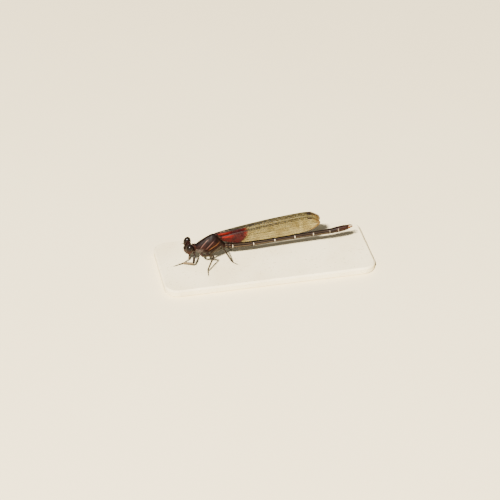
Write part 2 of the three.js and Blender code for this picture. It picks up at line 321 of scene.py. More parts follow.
# %% Wing finishes
def wing_film():
    material, tree, surface = start_material("amber_film")
    amber = two_tone(tree, size_mm=1.6, deep=(0.25, 0.18, 0.05), light=(0.39, 0.31, 0.11))
    toned = lay_marks(tree, amber, [("tip", (0.14, 0.068, 0.012))])
    ruby = two_tone(tree, size_mm=0.7, deep=(0.009, 0.0001, 0.0002), light=(0.04, 0.0004, 0.0006))
    toned = mix_colour(tree, mask(tree, "red"), toned, ruby)
    # The flare colour is a painted glow: a brighter red painted where light would come through the red patch.
    toned = lay_marks(tree, toned, [("flare", (0.26, 0.009, 0.0015)), ("stigma", (0.05, 0.025, 0.015))])
    tree.links.new(toned, surface.inputs["Base Color"])
    tree.links.new(mask(tree, "cover"), surface.inputs["Alpha"])
    raise_grain(tree, surface, size_mm=0.5, height_mm=0.02, strength=0.3)
    surface.inputs["Roughness"].default_value = 0.45
    surface.inputs["Specular IOR Level"].default_value = 0.12
    return material


FILM = wing_film()
VEIN = shell(
    "wing_vein",
    deep=(0.0015, 0.0008, 0.0004),
    light=(0.006, 0.0033, 0.0014),
    roughness=0.45,
    patch_mm=0.8,
    relief=0.2,
    gloss=0.2,
    marks=[("red", (0.013, 0.0003, 0.0004))],
)
print("wing finishes:", FILM.name, VEIN.name)

# %% [markdown]
# ## Shapes
#
# Almost every part of an insect is a row of rings: a leg, a tail segment, the thorax. So we first need the
# means to draw curves: shares of a length, angles round a ring, a straight mix, a soft step, and a list of
# places that is eased into a smooth curve.


# %% Curve helpers
def shares(count):
    return [i / count for i in range(count + 1)]


def turns(count):
    return [2 * pi * k / count for k in range(count)]


def mix(a, b, share):
    return a + (b - a) * share


def step(edge_low, edge_high, value):
    t = min(1.0, max(0.0, (value - edge_low) / (edge_high - edge_low)))
    return t * t * (3 - 2 * t)


def profile(pairs, at):
    last = len(pairs) - 1
    if at <= pairs[0][0]:
        return pairs[0][1]
    if at >= pairs[last][0]:
        return pairs[last][1]
    i = max(k for k in range(last) if pairs[k][0] <= at)

    def slope(j):
        a, b = pairs[max(j - 1, 0)], pairs[min(j + 1, last)]
        return (b[1] - a[1]) / (b[0] - a[0])

    (x1, y1), (x2, y2) = pairs[i], pairs[i + 1]
    h = x2 - x1
    t = (at - x1) / h
    before = y1 * (1 + 2 * t) + slope(i) * h * t
    after = y2 * (3 - 2 * t) - slope(i + 1) * h * (1 - t)
    return before * (1 - t) ** 2 + after * t**2


print("a soft step half way:", step(0, 1, 0.5))

# %% [markdown]
# Three more helpers make pieces. The first joins rings into a closed skin, the second writes masks on a
# mesh, and the third turns a mesh into a finished piece in the model's frame: it points the faces outwards,
# gives it its finish, puts it on the root body, and hides the imported solids that it stands for.


# %% Piece helpers
def loft(rings):
    count = len(rings[0])
    points = [p for ring in rings for p in ring]
    faces = []
    for r in range(len(rings) - 1):
        for i in range(count):
            a, b = r * count + i, r * count + (i + 1) % count
            faces.append((a, b, b + count, a + count))
    for start in (0, (len(rings) - 1) * count):
        points.append(sum((points[start + i] for i in range(count)), Vector()) / count)
        faces += [(len(points) - 1, start + (i + 1) % count, start + i) for i in range(count)]
    return points, faces


def draw_mesh(name, points, edges, faces):
    mesh = bpy.data.meshes.new(name)
    mesh.from_pydata([tuple(p) for p in points], edges, faces)
    return mesh


def carry(mesh, label, values):
    mesh.attributes.new(label, "FLOAT", "POINT").data.foreach_set("value", values)


def paint(mesh, masks):
    for label, rule in masks.items():
        carry(mesh, label, [rule(v.co) for v in mesh.vertices])


def settle(name, mesh, material, nodes=()):
    work = bmesh.new()
    work.from_mesh(mesh)
    bmesh.ops.recalc_face_normals(work, faces=work.faces)
    work.to_mesh(mesh)
    work.free()
    mesh.transform(TO_FRAME)
    mesh.materials.clear()
    mesh.materials.append(material)
    mesh.polygons.foreach_set("use_smooth", [True] * len(mesh.polygons))
    piece = bpy.data.objects.new(name, mesh)
    bpy.context.scene.collection.objects.link(piece)
    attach(piece, "root")
    if nodes:
        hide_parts(*nodes)
    return piece


def skin(name, shape, material, nodes=(), masks=None):
    points, faces = shape
    mesh = draw_mesh(name, points, [], faces)
    paint(mesh, masks or {})
    return settle(name, mesh, material, nodes)


print("piece helpers ready")

# %% [markdown]
# ## Head
#
# A damselfly's head is as wide as a dumb-bell: two egg-shaped eyes on a short bar. We overlap simple
# eggs for the crown, face, lips and jaws, and a voxel remesh melts them into one skin. That is quicker
# than drawing the folds by hand, and it keeps every join closed.


# %% Melt eggs into one skin
def egg(work, centre, radii, tilt):
    made = bmesh.ops.create_uvsphere(work, u_segments=32, v_segments=20, radius=1.0)
    place = Matrix.Translation(centre) @ Matrix.Rotation(tilt, 4, "Y") @ Matrix.Diagonal((*radii, 1))
    bmesh.ops.transform(work, matrix=place, verts=made["verts"])


def both_sides(eggs):
    return eggs + [((x, -y, z), radii, tilt) for (x, y, z), radii, tilt in eggs]


def to_plain_mesh(source):
    evaluated = source.evaluated_get(bpy.context.evaluated_depsgraph_get())
    made = bpy.data.meshes.new_from_object(evaluated)
    bpy.data.objects.remove(source)
    return made


def melt(name, eggs, voxel, rounds, masks, nodes=()):
    work = bmesh.new()
    for centre, radii, tilt in eggs:
        egg(work, centre, radii, tilt)
    mesh = bpy.data.meshes.new(name)
    work.to_mesh(mesh)
    work.free()
    source = bpy.data.objects.new(name, mesh)
    bpy.context.scene.collection.objects.link(source)
    remesh = source.modifiers.new("melt", "REMESH")
    remesh.mode = "VOXEL"
    remesh.voxel_size = voxel
    soften = source.modifiers.new("soften", "SMOOTH")
    soften.factor = 0.5
    soften.iterations = rounds
    made = to_plain_mesh(source)
    paint(made, masks)
    settle(name, made, BRONZE, nodes)
    print(name, "points:", len(made.vertices))


# %% [markdown]
# Every place on the head is given from its centre, so the whole head can be moved with one value. The pale
# spots on the cheeks fade out with distance, like the marks on the real face.

# %% Head capsule
HEAD = Vector((-5.35, 0.0, 5.2))


def at_head(dx, y, dz):
    return (HEAD.x + dx, y, HEAD.z + dz)


def near(p, spot, reach):
    return exp(-(((p - Vector(spot)).length / reach) ** 2))


def brow_crease(p):
    height, front = p.z - (HEAD.z + 0.55), p.x - HEAD.x
    return 0.5 * step(0.55, 0.2, abs(height)) * step(-0.3, -0.7, front)


def cheek_spots(p):
    spots = (at_head(-1.2, side * 0.5, -0.82) for side in (1, -1))
    return 0.55 * min(1, sum(near(p, spot, 0.24) for spot in spots))


head_eggs = [
    (at_head(0.0, 0, 0.28), (0.78, 1.7, 0.84), 0.2),
    (at_head(0.3, 0, -0.15), (0.46, 1.5, 1.0), 0.2),
    (at_head(-0.38, 0, 0.0), (0.7, 1.0, 0.8), 0),
    (at_head(-0.82, 0, -0.42), (0.5, 0.92, 0.34), 0.1),
    (at_head(-0.86, 0, -0.8), (0.46, 0.8, 0.3), 0.3),
    (at_head(0.5, 0, 0.1), (0.3, 0.8, 0.55), 0.0),
]
head_eggs += both_sides(
    [
        (at_head(-0.1, 1.0, -0.85), (0.55, 0.5, 0.5), 0.2),
        (at_head(-0.05, 0.55, 0.85), (0.42, 0.4, 0.32), 0.1),
    ]
)
head_masks = {
    "groove": brow_crease,
    "pale": cheek_spots,
    "dust": lambda p: 0.25 * step(0.2, 0.6, p.x - HEAD.x),
}
melt("head_skin", head_eggs, voxel=0.035, rounds=4, masks=head_masks, nodes=["head"])

# %% [markdown]
# The mouth hangs below the face: an upper lip, two jaws and a folded lower lip. A dark line parts the lips.

# %% Mouth
mouth_eggs = [
    (at_head(-0.86, 0, -1.18), (0.4, 0.74, 0.36), 0.35),
    (at_head(-0.1, 0, -1.55), (0.5, 0.62, 0.52), 0.3),
    (at_head(-0.45, 0, -1.88), (0.42, 0.34, 0.2), 0.5),
]
mouth_eggs += both_sides(
    [
        (at_head(-0.42, 0.62, -1.32), (0.5, 0.32, 0.5), 0.2),
        (at_head(-0.62, 0.42, -1.72), (0.34, 0.16, 0.2), 0.6),
    ]
)
mouth_masks = {
    "groove": lambda p: step(-1.36, -1.46, p.z - HEAD.z) * step(-1.56, -1.46, p.z - HEAD.z),
    "pale": lambda p: 0.3 * near(p, at_head(-1.2, 0, -1.22), 0.3),
    "orange": lambda p: 0.02,
    "dust": lambda p: 0.2 * step(-1.4, -1.9, p.z - HEAD.z),
}
melt("mouth_skin", mouth_eggs, voxel=0.03, rounds=2, masks=mouth_masks, nodes=["mouth"])

# %% [markdown]
# An eye is an egg that stands upright and leans back a little. We draw it as rings from pole to pole, so
# its faces run evenly and the highlight stays clean.

# %% Eyes
SIDES = ((-1, "left"), (1, "right"))
EYE_AT = Vector((-5.4, 1.75, 5.37))
EYE_RADII = (0.95, 0.9, 1.4)
EYE_TILT = 0.2


def egg_rings(centre, radii, tilt, around, down, pole):
    lean = Matrix.Rotation(tilt, 3, "Y")
    rings = []
    for share in shares(down):
        polar = pi * mix(pole, 1 - pole, share)
        flat = [(sin(polar) * cos(a), sin(polar) * sin(a), cos(polar)) for a in turns(around)]
        rings.append([centre + lean @ Vector([r * c for r, c in zip(radii, spot)]) for spot in flat])
    return rings


def dark_above(p):
    return step(-0.7, 0.5, (p.z - EYE_AT.z) + 0.3 * noise.noise(p * 2.0))


for side, hand in SIDES:
    centre = Vector((EYE_AT.x, side * EYE_AT.y, EYE_AT.z))
    rings = egg_rings(centre, EYE_RADII, EYE_TILT, around=64, down=48, pole=0.01)
    skin("eye_skin_" + hand, loft(rings), EYE, ["eye_" + hand], {"upper": dark_above})
print("eye height, mm:", 2 * EYE_RADII[2])

# %% [markdown]
# Three small simple eyes sit on the crown between the big ones. They are glassy beads, half sunk into the
# crown and too small to show any facets of ours, so a bead of a few hundred faces is enough.

# %% Simple eyes
BEAD = 0.13
BEADS = ((-0.66, 0, 0.86), (-0.3, -0.42, 1.1), (-0.3, 0.42, 1.1))
for number, spot in enumerate(BEADS):
    bead = egg_rings(Vector(at_head(*spot)), (BEAD, BEAD, BEAD), 0.0, around=16, down=10, pole=0.03)
    skin("simple_eye_%d" % number, loft(bead), EYE, (), {"upper": lambda p: 0.6})
print("simple eyes:", len(BEADS))

# %% [markdown]
# ## Limbs as tubes
#
# A limb is a tube whose radius changes along its path. The ring's frame is carried along the path, so it
# never twists. Both ends are drawn in to a round tip, because a hard flat end would catch the light.

# %% Tube helper
NUDGE = 0.02
TIP_SIZE = 0.02


def tube(path, radius, sides, steps):
    points = [Vector(p) for p in path]
    lengths = [0.0]
    for a, b in zip(points, points[1:]):
        lengths.append(lengths[-1] + (b - a).length)

    def at(t):
        goal = t * lengths[-1]
        i = max(k for k in range(len(points) - 1) if lengths[k] <= goal + 1e-9)
        share = (goal - lengths[i]) / (lengths[i + 1] - lengths[i])
        return points[i].lerp(points[i + 1], share)

    across = None
    rings = []
    for share in shares(steps):
        t = 0.5 - 0.5 * cos(pi * share)
        way = (at(min(1, t + NUDGE)) - at(max(0, t - NUDGE))).normalized()
        if across is None:
            across = way.cross(Vector((0.1, 0.2, 1))).normalized()
        across = (across - way * across.dot(way)).normalized()
        up = way.cross(across)
        end = min(t, 1 - t) * lengths[-1]
        dome = sqrt(max(TIP_SIZE**2, 1 - (1 - min(1, end / radius(t))) ** 2))
        size = radius(t) * dome
        rings.append([at(t) + size * (across * cos(a) + up * sin(a)) for a in turns(sides)])
    return loft(rings)


def join_shapes(*shapes):
    points, faces = [], []
    for more_points, more_faces in shapes:
        shift = len(points)
        points += more_points
        faces += [tuple(i + shift for i in face) for face in more_faces]
    return points, faces


sample_points, sample_faces = tube([(0, 0, 0), (1, 0, 0)], lambda t: 0.1, 12, 12)
print("a small tube has points, faces:", len(sample_points), len(sample_faces))

# %% [markdown]
# An antenna has two stout joints and a lash that droops in a curve. The lash is thinner than a hair, so it
# gets few sides.


# %% Antennae
def antenna(side):
    root = Vector(at_head(-1.0, side * 0.62, 0.36))

    def off(dx, dy, dz):
        return root + Vector((dx, side * dy, dz))

    first = tube([root, off(-0.24, 0.1, 0.1)], lambda t: 0.15 - 0.02 * t, 14, 12)
    second = tube([off(-0.2, 0.09, 0.09), off(-0.46, 0.24, 0.14)], lambda t: 0.1, 12, 12)
    droop = [off(-0.44 - 0.42 * t, 0.23 + 0.5 * t, 0.13 - 0.85 * t * t) for t in shares(4)]
    lash = tube(droop, lambda t: 0.04 - 0.028 * t, 8, 20)
    return join_shapes(first, second, lash)


for side, hand in SIDES:
    name = "antenna_skin_" + hand
    skin(name, antenna(side), LEG, ["antenna_" + hand], {"pale": lambda p: 0.02})
print("antennae:", len(SIDES))

# %% [markdown]
# ## Thorax
#
# The collar is a small saddle between head and thorax, melted from eggs like the head. It has a pale rim in
# front, a faint orange one behind, and a dusty underside.

# %% Collar
FRONT_RIM = -4.32
REAR_RIM = -3.78
collar_eggs = [
    ((-4.5, 0, 4.9), (0.55, 0.42, 0.45), 0),
    ((-4.32, 0, 4.86), (0.22, 0.9, 0.9), 0.1),
    ((-4.05, 0, 4.72), (0.3, 0.8, 0.95), 0.1),
    ((-3.8, 0, 4.75), (0.24, 0.92, 0.98), 0.15),
    ((-3.55, 0, 4.5), (0.4, 0.75, 0.9), 0),
]
collar_eggs += both_sides([((-4.05, 0.6, 4.2), (0.36, 0.4, 0.5), 0)])
collar_masks = {
    "pale": lambda p: 0.3 * step(0.08, 0.02, abs(p.x - FRONT_RIM)) * step(0.3, 0.6, abs(p.y)),
    "orange": lambda p: 0.12 * step(0.12, 0.03, abs(p.x - REAR_RIM)) * step(0.35, 0.7, abs(p.y)),
    "dust": lambda p: 0.75 * step(4.4, 3.9, p.z),
}
melt("collar_skin", collar_eggs, voxel=0.035, rounds=2, masks=collar_masks, nodes=["prothorax"])

# %% [markdown]
# The thorax itself is one long skin over rings. Three curves give the height of its back, the height of its
# belly and its half width along the body. Its plates meet in slanting seams, which are drawn in side view.
# We press each seam in as a real groove, because the light catches it from every side.

# %% Thorax form
THORAX_START = -3.6
THORAX_END = 3.9
ROOF = [
    (-3.6, 5.5), (-2.8, 6.15), (-1.4, 7.0), (0, 7.75), (0.8, 8.05), (1.6, 7.95), (2.5, 7.15), (3.3, 5.8),
    (3.9, 4.95),
]
BELLY = [
    (-3.6, 3.65), (-3.0, 3.05), (-2.0, 2.7), (-0.6, 2.55), (1, 2.55), (2.4, 2.85), (3.3, 3.25), (3.9, 3.6),
]
FLANK = [
    (-3.6, 0.75), (-2.9, 1.2), (-1.8, 1.48), (-0.4, 1.62), (0.9, 1.56), (2.2, 1.32), (3.2, 0.92), (3.9, 0.68),
]
SEAMS = [
    [(-3.3, 4.0), (-2.75, 4.9), (-2.1, 5.75), (-1.2, 6.65), (-0.3, 7.3)],
    [(-2.3, 3.5), (-1.7, 4.35), (-0.9, 5.2), (0.2, 6.25), (1.3, 7.2)],
    [(-1.5, 3.3), (-0.8, 4.3), (0.2, 5.0), (1.4, 5.6), (2.6, 6.5)],
    [(-0.3, 3.0), (0.6, 3.7), (1.7, 4.4), (2.9, 5.2)],
]
SEAM_DEPTH, SEAM_WIDTH = 0.045, 0.075
WIDEST = 0.42
NARROW_ABOVE, NARROW_BELOW = 0.24, 0.1
BACK_RIDGE, BELLY_FOLD, RIDGE_WIDTH = -0.06, 0.03, 0.07
UNEVEN = 0.05
FAR = 9.0
ALONG, AROUND = 220, 190


def seam_distance(seam, x, z):
    best = FAR
    for (x1, z1), (x2, z2) in zip(seam, seam[1:]):
        dx, dz = x2 - x1, z2 - z1
        share = min(1, max(0, ((x - x1) * dx + (z - z1) * dz) / (dx * dx + dz * dz)))
        best = min(best, hypot(x - x1 - share * dx, z - z1 - share * dz))
    return best


def hump(distance, width):
    return exp(-((distance / width) ** 2))


def thorax_point(x, angle):
    roof, belly, half = profile(ROOF, x), profile(BELLY, x), profile(FLANK, x)
    middle = mix(belly, roof, WIDEST)
    up = cos(angle)
    rise = roof - middle if up > 0 else middle - belly
    narrow = 1 - (NARROW_ABOVE if up > 0 else NARROW_BELOW) * up * up
    point = Vector((x, half * sin(angle) * narrow, middle + rise * up))
    sunk = sum(SEAM_DEPTH * hump(seam_distance(seam, x, point.z), SEAM_WIDTH) for seam in SEAMS)
    sunk += hump(point.y, RIDGE_WIDTH) * (BACK_RIDGE if up > 0 else BELLY_FOLD)
    sunk += UNEVEN * noise.noise(point * 0.9)
    centre = Vector((x, 0, middle))
    return point - (point - centre).normalized() * sunk


thorax_rings = [
    [thorax_point(mix(THORAX_START, THORAX_END, share), angle) for angle in turns(AROUND)]
    for share in shares(ALONG)
]
print("thorax points:", len(thorax_rings) * AROUND)

# %% [markdown]
# Pale stripes lie beside the seams, the back is darker than the flanks, and a dusty bloom covers the belly
# and the shoulder. They are masks, so their edges need no geometry of their own. The many rings above keep
# the stripes sharp.

# %% Thorax marks
FADE = 0.3


def stripe(index, shift, width, low, high):
    line = [(x + shift, z - 0.5 * shift) for x, z in SEAMS[index]]

    def rule(p):
        ends = step(low - FADE, low + FADE, p.z) * step(high + FADE, high - FADE, p.z)
        return hump(seam_distance(line, p.x, p.z), 0.7 * width) * ends

    return rule


def dark_back(p):
    roof, belly = profile(ROOF, p.x), profile(BELLY, p.x)
    return 0.75 * step(0.68, 0.9, (p.z - belly) / (roof - belly))


def seam_line(p):
    return max(hump(seam_distance(seam, p.x, p.z), 0.05) for seam in SEAMS)


def bloom(p):
    cloud = noise.noise(p * 1.7)
    belly = 0.55 * step(4.0, 3.0, p.z + 0.25 * cloud)
    shoulder = 0.6 * step(5.0, 4.2, p.z + 0.3 * cloud) * step(-1.4, -2.4, p.x)
    return max(belly, shoulder)


pale_rules = [
    stripe(0, shift=0.2, width=0.09, low=5.0, high=6.9),
    stripe(1, shift=0.18, width=0.09, low=4.7, high=6.5),
    stripe(3, shift=0.2, width=0.1, low=3.7, high=4.8),
]
orange_rule = stripe(2, shift=0.18, width=0.12, low=4.4, high=6.0)
thorax_masks = {
    "groove": lambda p: max(dark_back(p), seam_line(p)),
    "pale": lambda p: 0.7 * max(rule(p) for rule in pale_rules),
    "orange": lambda p: 0.85 * orange_rule(p),
    "dust": bloom,
}
skin("thorax_skin", loft(thorax_rings), BRONZE, ["thorax"], thorax_masks)
print("thorax marks:", list(thorax_masks))

# %% [markdown]
# Each wing turns on a cluster of small plates. They are lumps at the top of the thorax, so melted eggs
# again do the work, and they close the space between the thorax and the wings.

# %% Wing hinges
hinge_eggs = both_sides(
    [
        ((1.75, 0.32, 7.72), (0.5, 0.2, 0.3), 0.5),
        ((2.3, 0.34, 7.35), (0.4, 0.22, 0.3), 0.9),
        ((2.75, 0.42, 6.95), (0.5, 0.28, 0.3), 0.6),
        ((3.05, 0.36, 6.5), (0.4, 0.26, 0.28), 0.9),
    ]
)
hinge_masks = {"orange": lambda p: 0.1 * near(p, (2.4, p.y, 7.3), 0.4)}
melt("wing_hinges", hinge_eggs, voxel=0.03, rounds=2, masks=hinge_masks)

# %% [markdown]
# ## Abdomen
#
# Ten rings slide a little into each other. Each is a separate skin: narrow in front, where it tucks into
# the ring before it, and flared at its rear rim. The last one closes in a dome. A low keel runs along the
# back and a fold along the belly.

# %% Abdomen form
SPINE = [
    (3.9, 4.25), (4.8, 4.0), (5.7, 3.85), (8.5, 3.68), (11.1, 3.67), (16.6, 3.98), (21.8, 4.24), (26.6, 4.42),
    (30.9, 4.58), (33.1, 4.84), (34.9, 5.08), (36.0, 5.2),
]
RINGS = [3.75, 4.7, 5.7, 11.1, 16.6, 21.8, 26.6, 30.9, 33.1, 34.9, 36.0]
GIRTH = [
    (4.0, 0.68), (5.2, 0.78), (6.4, 0.7), (11.1, 0.62), (16.6, 0.6), (24, 0.61), (30, 0.65), (32.8, 0.74),
    (34.6, 0.74), (36.0, 0.58),
]
LAST_RING = len(RINGS) - 2
RING_SIDES = 48
STEPS_PER_MM = 14
SLIM = 0.94
TUCK, FLARE = 0.07, 0.035
KEEL, FOLD = 0.02, 0.03


def spine_slope(x):
    return (profile(SPINE, x + 0.1) - profile(SPINE, x - 0.1)) / 0.2


def ring_radius(index, x):
    front, back = RINGS[index], RINGS[index + 1]
    tuck = TUCK * step(front + 0.25, front - 0.05, x)
    flare = FLARE * step(back - 0.5, back, x)
    radius = profile(GIRTH, x) - tuck + flare
    if index == LAST_RING:
        radius *= sqrt(max(0.02, 1 - max(0, (x - back + 0.3) / 0.34) ** 2))
    return radius


def keel(angle):
    if cos(angle) > 0:
        return KEEL * hump(sin(angle), 0.15)
    return -FOLD * hump(sin(angle), 0.2)


def segment(index):
    front, back = RINGS[index] - 0.1, RINGS[index + 1] + 0.04
    steps = max(16, int((back - front) * STEPS_PER_MM))
    rings = []
    for share in shares(steps):
        x = mix(front, back, share)
        rise, radius, axis = spine_slope(x), ring_radius(index, x), profile(SPINE, x)
        ring = []
        for angle in turns(RING_SIDES):
            r = radius + keel(angle)
            z = r * cos(angle)
            ring.append(Vector((x - z * rise, r * sin(angle) * SLIM, axis + z)))
        rings.append(ring)
    return loft(rings)


print("abdomen length, mm:", RINGS[-1] - RINGS[0])

# %% [markdown]
# A pale band marks the front of the long rings, tan lines run along their sides and fade towards the tail,
# the top is nearly black, and the last rings are rusty.


# %% Abdomen rings
def tail_masks(index):
    front, back = RINGS[index], RINGS[index + 1]
    long_ring = back - front > 1.5
    line_strength = (0.8, 0.5, 0.12)[(index > 3) + (index > 6)]
    band_strength = (0.95 if 1 < index < 7 else 0.25) * long_ring

    def height(p):
        return (p.z - profile(SPINE, p.x)) / profile(GIRTH, p.x)

    def side_lines(p):
        ends = step(0.0, 0.4, p.x - front) * step(0.1, 0.5, back - p.x)
        lower_line = step(0.2, 0.05, abs(height(p) - 0.06))
        upper_line = 0.5 * step(0.1, 0.04, abs(height(p) - 0.8))
        return line_strength * ends * max(lower_line, upper_line)

    def pale_band(p):
        spread = step(0.8, 0.55, height(p)) * step(-0.5, -0.2, height(p))
        return band_strength * spread * step(0.24, 0.14, p.x - front)

    return {
        "line": side_lines,
        "top": lambda p: 0.7 * step(0.88, 0.97, height(p)),
        "band": pale_band,
        "rust": lambda p: step(31.5, 34.5, p.x) * 0.8 + 0.3 * step(0.5, 0.1, back - p.x),
    }


for index in range(LAST_RING + 1):
    number = "%02d" % (index + 1)
    nodes = ["abdomen_" + number]
    skin("tail_ring_" + number, segment(index), TAIL, nodes, tail_masks(index))
print("tail rings:", LAST_RING + 1)

# %% [markdown]
# The male holds his mate with four claspers at the tail's end. The upper pair are long, bow outwards and
# carry an inner tooth, and the lower pair are short. All are tubes, and orange rather than dark.

# %% Claspers
TIP = RINGS[-1]
TIP_Z = profile(SPINE, TIP)


def claspers(side):
    def at_tip(dx, dy, dz):
        return Vector((TIP + dx, side * dy, TIP_Z + dz))

    def bow(t):
        return 0.3 + 0.17 * sin(pi * min(1, t * 1.02)) - 0.08 * t

    upper_arm = [at_tip(1.3 * t - 0.25, bow(t), 0.2 + 0.12 * t - 0.1 * t * t) for t in shares(10)]
    lower_arm = [at_tip(0.6 * t - 0.1, 0.2 - 0.04 * t, 0.02 * t - 0.25) for t in shares(6)]
    tooth = [at_tip(0.72, 0.38, 0.22), at_tip(0.76, 0.18, 0.2)]
    return join_shapes(
        tube(upper_arm, lambda t: 0.19 - 0.08 * t + 0.03 * sin(pi * t), 16, 30),
        tube(lower_arm, lambda t: 0.12 - 0.06 * t, 12, 16),
        tube(tooth, lambda t: 0.08 - 0.04 * t, 10, 10),
    )


for side, hand in SIDES:
    skin("clasper_skin_" + hand, claspers(side), CLASP, ["clasper_" + hand])
print("claspers start at x, mm:", TIP)

# %% [markdown]
# ## Legs
#
# Each leg has a stout hip, a slim thigh, a thin shin and a three-part foot with two claws. They are tubes
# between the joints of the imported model: the hip, the turning joint, the knee, the ankle and the toe. The
# shin has a pale outer face, bright on the forelegs and faint on the others, which is a mask again.

# %% Leg joints
TOE_Z = -0.17
LEGS = {
    "front_left": [
        (-4.05, -0.5, 3.75), (-4.06, -1.1, 3.2), (-4.5, -2.2, 1.25), (-7.0, -0.45, 0.6), (-9.1, -0.3, TOE_Z),
    ],
    "front_right": [
        (-4.05, 0.5, 3.75), (-4.06, 1.1, 3.2), (-4.2, 3.2, 2.3), (-5.2, 1.0, 0.42), (-7.2, 0.2, TOE_Z),
    ],
    "middle_left": [
        (-2.2, -0.95, 2.75), (-2.1, -1.75, 2.8), (0.4, -3.9, 4.05), (-1.4, -4.7, 0.42), (-1.5, -6.05, TOE_Z),
    ],
    "middle_right": [
        (-2.2, 0.95, 2.75), (-2.1, 1.75, 2.8), (0.1, 3.8, 4.1), (-0.6, 5.3, 0.42), (-0.5, 6.7, TOE_Z),
    ],
    "hind_left": [
        (-0.75, -1.0, 2.65), (-0.55, -1.8, 2.8), (2.6, -2.6, 5.9), (5.1, -2.75, 0.9), (6.5, -2.8, TOE_Z),
    ],
    "hind_right": [
        (-0.75, 1.0, 2.65), (-0.55, 1.8, 2.8), (2.7, 2.8, 5.6), (4.9, 3.5, 0.9), (6.3, 3.9, TOE_Z),
    ],
}


def bent(a, b, sag):
    out = Vector((0, 0, 1)).cross(b - a).normalized()
    lift = (b - a).cross(out).normalized()
    return [a.lerp(b, t) + lift * (sag * 4 * t * (1 - t)) for t in shares(8)]


def face_mask(a, b, strength, spread=0.45):
    way = (b - a).normalized()
    out = Vector((way.y, -way.x, 0.4))
    if out.y * a.y < 0:
        out = Vector((-way.y, way.x, 0.4))
    out.normalize()

    def rule(p):
        off = (p - a) - way * (p - a).dot(way)
        facing = off.normalized().dot(out) if off.length > 1e-6 else 0
        return strength * step(spread, spread + 0.5, facing)

    return rule


print("leg joints:", {leg: len(spots) for leg, spots in LEGS.items()})

# %% [markdown]
# Each piece starts a little inside the one before it, so a joint shows no gap. The thigh has a small tube at
# either end for this, and the foot is three short tubes and two claws that curve down to the ground.

# %% Leg shapes
CLAW = 0.34
CLAW_SPREAD = 0.14


def hip_shape(hip, turn_joint):
    inner = hip + (hip - turn_joint) * 0.45
    return join_shapes(
        tube([inner, hip.lerp(turn_joint, 0.75)], lambda t: 0.4 - 0.1 * t, 20, 16),
        tube([hip.lerp(turn_joint, 0.55), turn_joint], lambda t: 0.27, 18, 14),
    )


def thigh_shape(turn_joint, knee, ankle, stout):
    along = knee - turn_joint
    return join_shapes(
        tube([turn_joint - along * 0.06, turn_joint.lerp(knee, 0.1)], lambda t: 0.22, 16, 12),
        tube(
            bent(turn_joint, knee, 0.12),
            lambda t: stout + 0.04 + 0.05 * sin(pi * (0.15 + 0.5 * t)) - 0.05 * t,
            18,
            30,
        ),
        tube([knee - along * 0.04, knee + (ankle - knee) * 0.03], lambda t: 0.19, 14, 10),
    )


def foot_shape(ankle, toe):
    way = (toe - ankle).normalized()
    flat = Vector((way.x, way.y, 0)).normalized()
    sideways = Vector((-flat.y, flat.x, 0))
    low = ankle.lerp(toe, 0.25)
    middle = ankle.lerp(toe, 0.5)
    shapes = [
        tube([ankle, low], lambda t: 0.11, 12, 12),
        tube([low, middle], lambda t: 0.1 + 0.012 * t, 12, 12),
        tube([middle, toe], lambda t: 0.085 + 0.02 * t, 12, 14),
    ]

    def claw_point(hand, t):
        curl = Vector((0, 0, 0.06 * sin(pi * t) - 0.1 * t))
        return toe + flat * (CLAW * t) + sideways * (hand * (0.03 + CLAW_SPREAD * t)) + curl

    for hand in (-1, 1):
        shapes.append(tube([claw_point(hand, t) for t in shares(4)], lambda t: 0.04 - 0.03 * t, 8, 12))
    return join_shapes(*shapes)


print("claw length, mm:", CLAW)

# %% [markdown]
# The forelegs are a little stouter than the others, and their shins are pale nearly all round. The other
# legs are dark, with only a faint paler face.

# %% Legs
STOUT_FRONT, STOUT = 0.26, 0.22
HIP_MASKS = {"pale": lambda p: 0.05, "dust": lambda p: 0.15}
FOOT_MASKS = {"pale": lambda p: 0.01}


def leg_pieces(leg, spots):
    hip, turn_joint, knee, ankle, toe = (Vector(p) for p in spots)
    is_front = leg.startswith("front")
    stout = STOUT_FRONT if is_front else STOUT
    thigh = thigh_shape(turn_joint, knee, ankle, stout)
    shin = tube(bent(knee, ankle, 0.05), lambda t: stout - 0.04 * t, 16, 30)
    thigh_face = face_mask(turn_joint, knee, 0.07)
    shin_face = face_mask(knee, ankle, 0.5, -0.3) if is_front else face_mask(knee, ankle, 0.06)
    return (
        ("hip", "coxa", hip_shape(hip, turn_joint), BRONZE, HIP_MASKS),
        ("thigh", "femur", thigh, LEG, {"pale": thigh_face}),
        ("shin", "tibia", shin, LEG, {"pale": shin_face}),
        ("foot", "tarsus", foot_shape(ankle, toe), LEG, FOOT_MASKS),
    )


for leg, spots in LEGS.items():
    for part, node, shape, finish, masks in leg_pieces(leg, spots):
        skin("leg_%s_%s" % (leg, part), shape, finish, ["leg_%s_%s" % (leg, node)], masks)
print("legs:", len(LEGS))

# %% [markdown]
# ## Bristles
#
# Rows of long bristles stand on thigh and shin, and the insect uses its bristly legs as a catching basket.
# Bristles repeat in their hundreds, so Geometry Nodes place them. We give a tree bare points that carry a
# direction and a length, and it stands a thin five-sided cone on each. Every tree ends by turning its
# copies into real faces and giving them a finish, so the result can become a plain mesh.


# %% Geometry Nodes helpers
def start_tree(name, label, kind, value):
    tree = bpy.data.node_groups.new(name, "GeometryNodeTree")
    tree.interface.new_socket("Geometry", in_out="INPUT", socket_type="NodeSocketGeometry")
    tree.interface.new_socket("Geometry", in_out="OUTPUT", socket_type="NodeSocketGeometry")
    tree.interface.new_socket(label, in_out="INPUT", socket_type=kind).default_value = value
    return tree, tree.nodes.new("NodeGroupInput"), tree.nodes.new("NodeGroupOutput")


def named(tree, name, kind="FLOAT"):
    made = add_node(tree, "GeometryNodeInputNamedAttribute", {"data_type": kind}, Name=name)
    return made.outputs["Attribute"]


